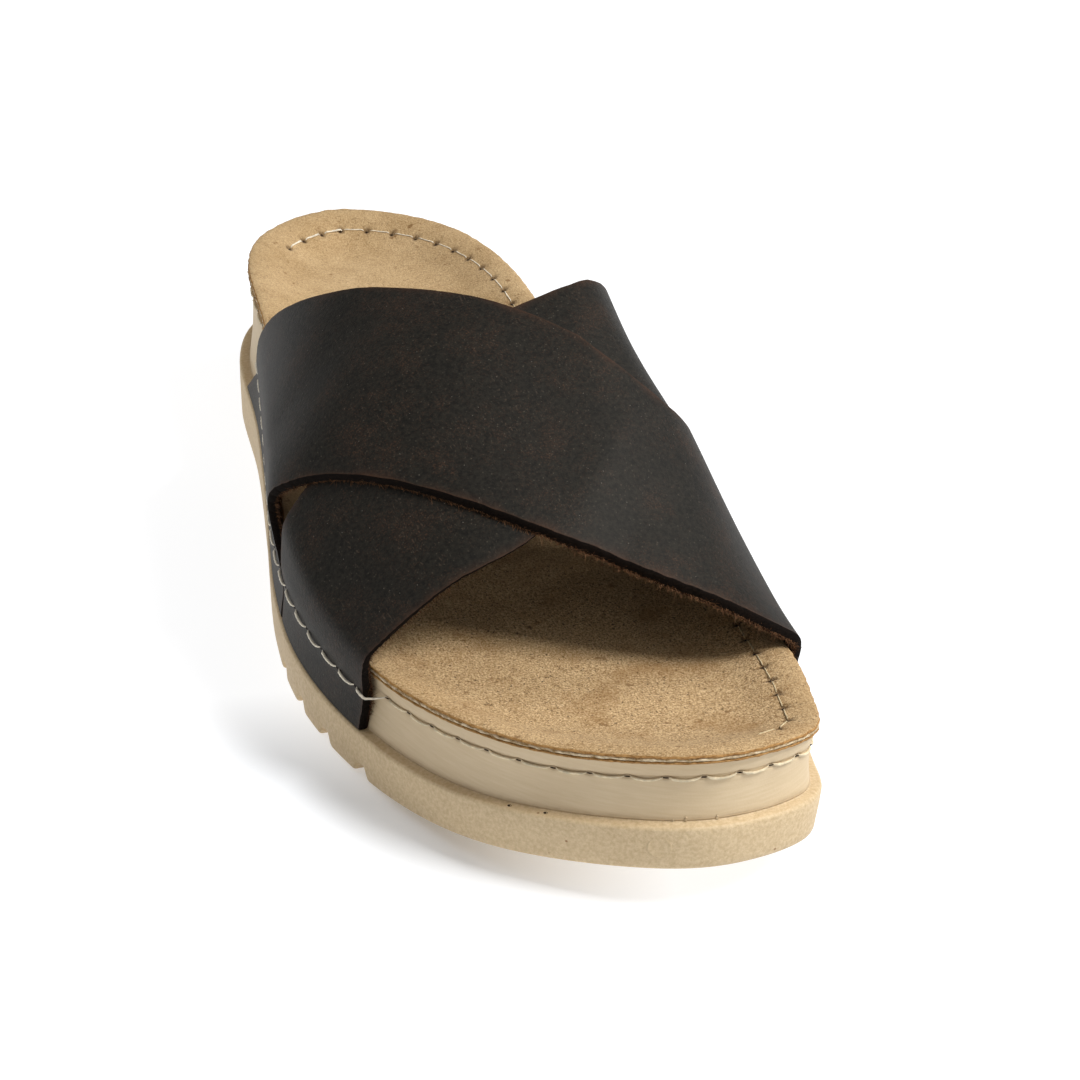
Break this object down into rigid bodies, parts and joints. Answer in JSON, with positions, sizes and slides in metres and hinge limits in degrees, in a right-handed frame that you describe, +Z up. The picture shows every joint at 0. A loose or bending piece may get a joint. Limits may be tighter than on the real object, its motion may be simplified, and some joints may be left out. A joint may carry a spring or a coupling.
{
  "type": "slide sandal",
  "caption": "Open slide sandal: two wide leather straps cross over the foot and run down the sides of a thick wedge sole with a dished suede footbed.",
  "frame": {"origin": "centre of the bounding box, on the floor", "axes": "toe towards -Y, heel towards +Y, medial (big toe) side towards +X, +Z up"},
  "size_m": [0.0967, 0.2586, 0.078],
  "materials": {
    "outsole": "cream moulded rubber with a fine grain",
    "midsole": "smooth cream foam, matte",
    "insole": "tan suede with a soft nap",
    "upper": "oiled dark brown nubuck with raw cut edges"
  },
  "bodies": {
    "root": {"outsole": "outsole", "midsole": "midsole", "insole": "insole", "upper": "upper"}
  },
  "joints": []
}
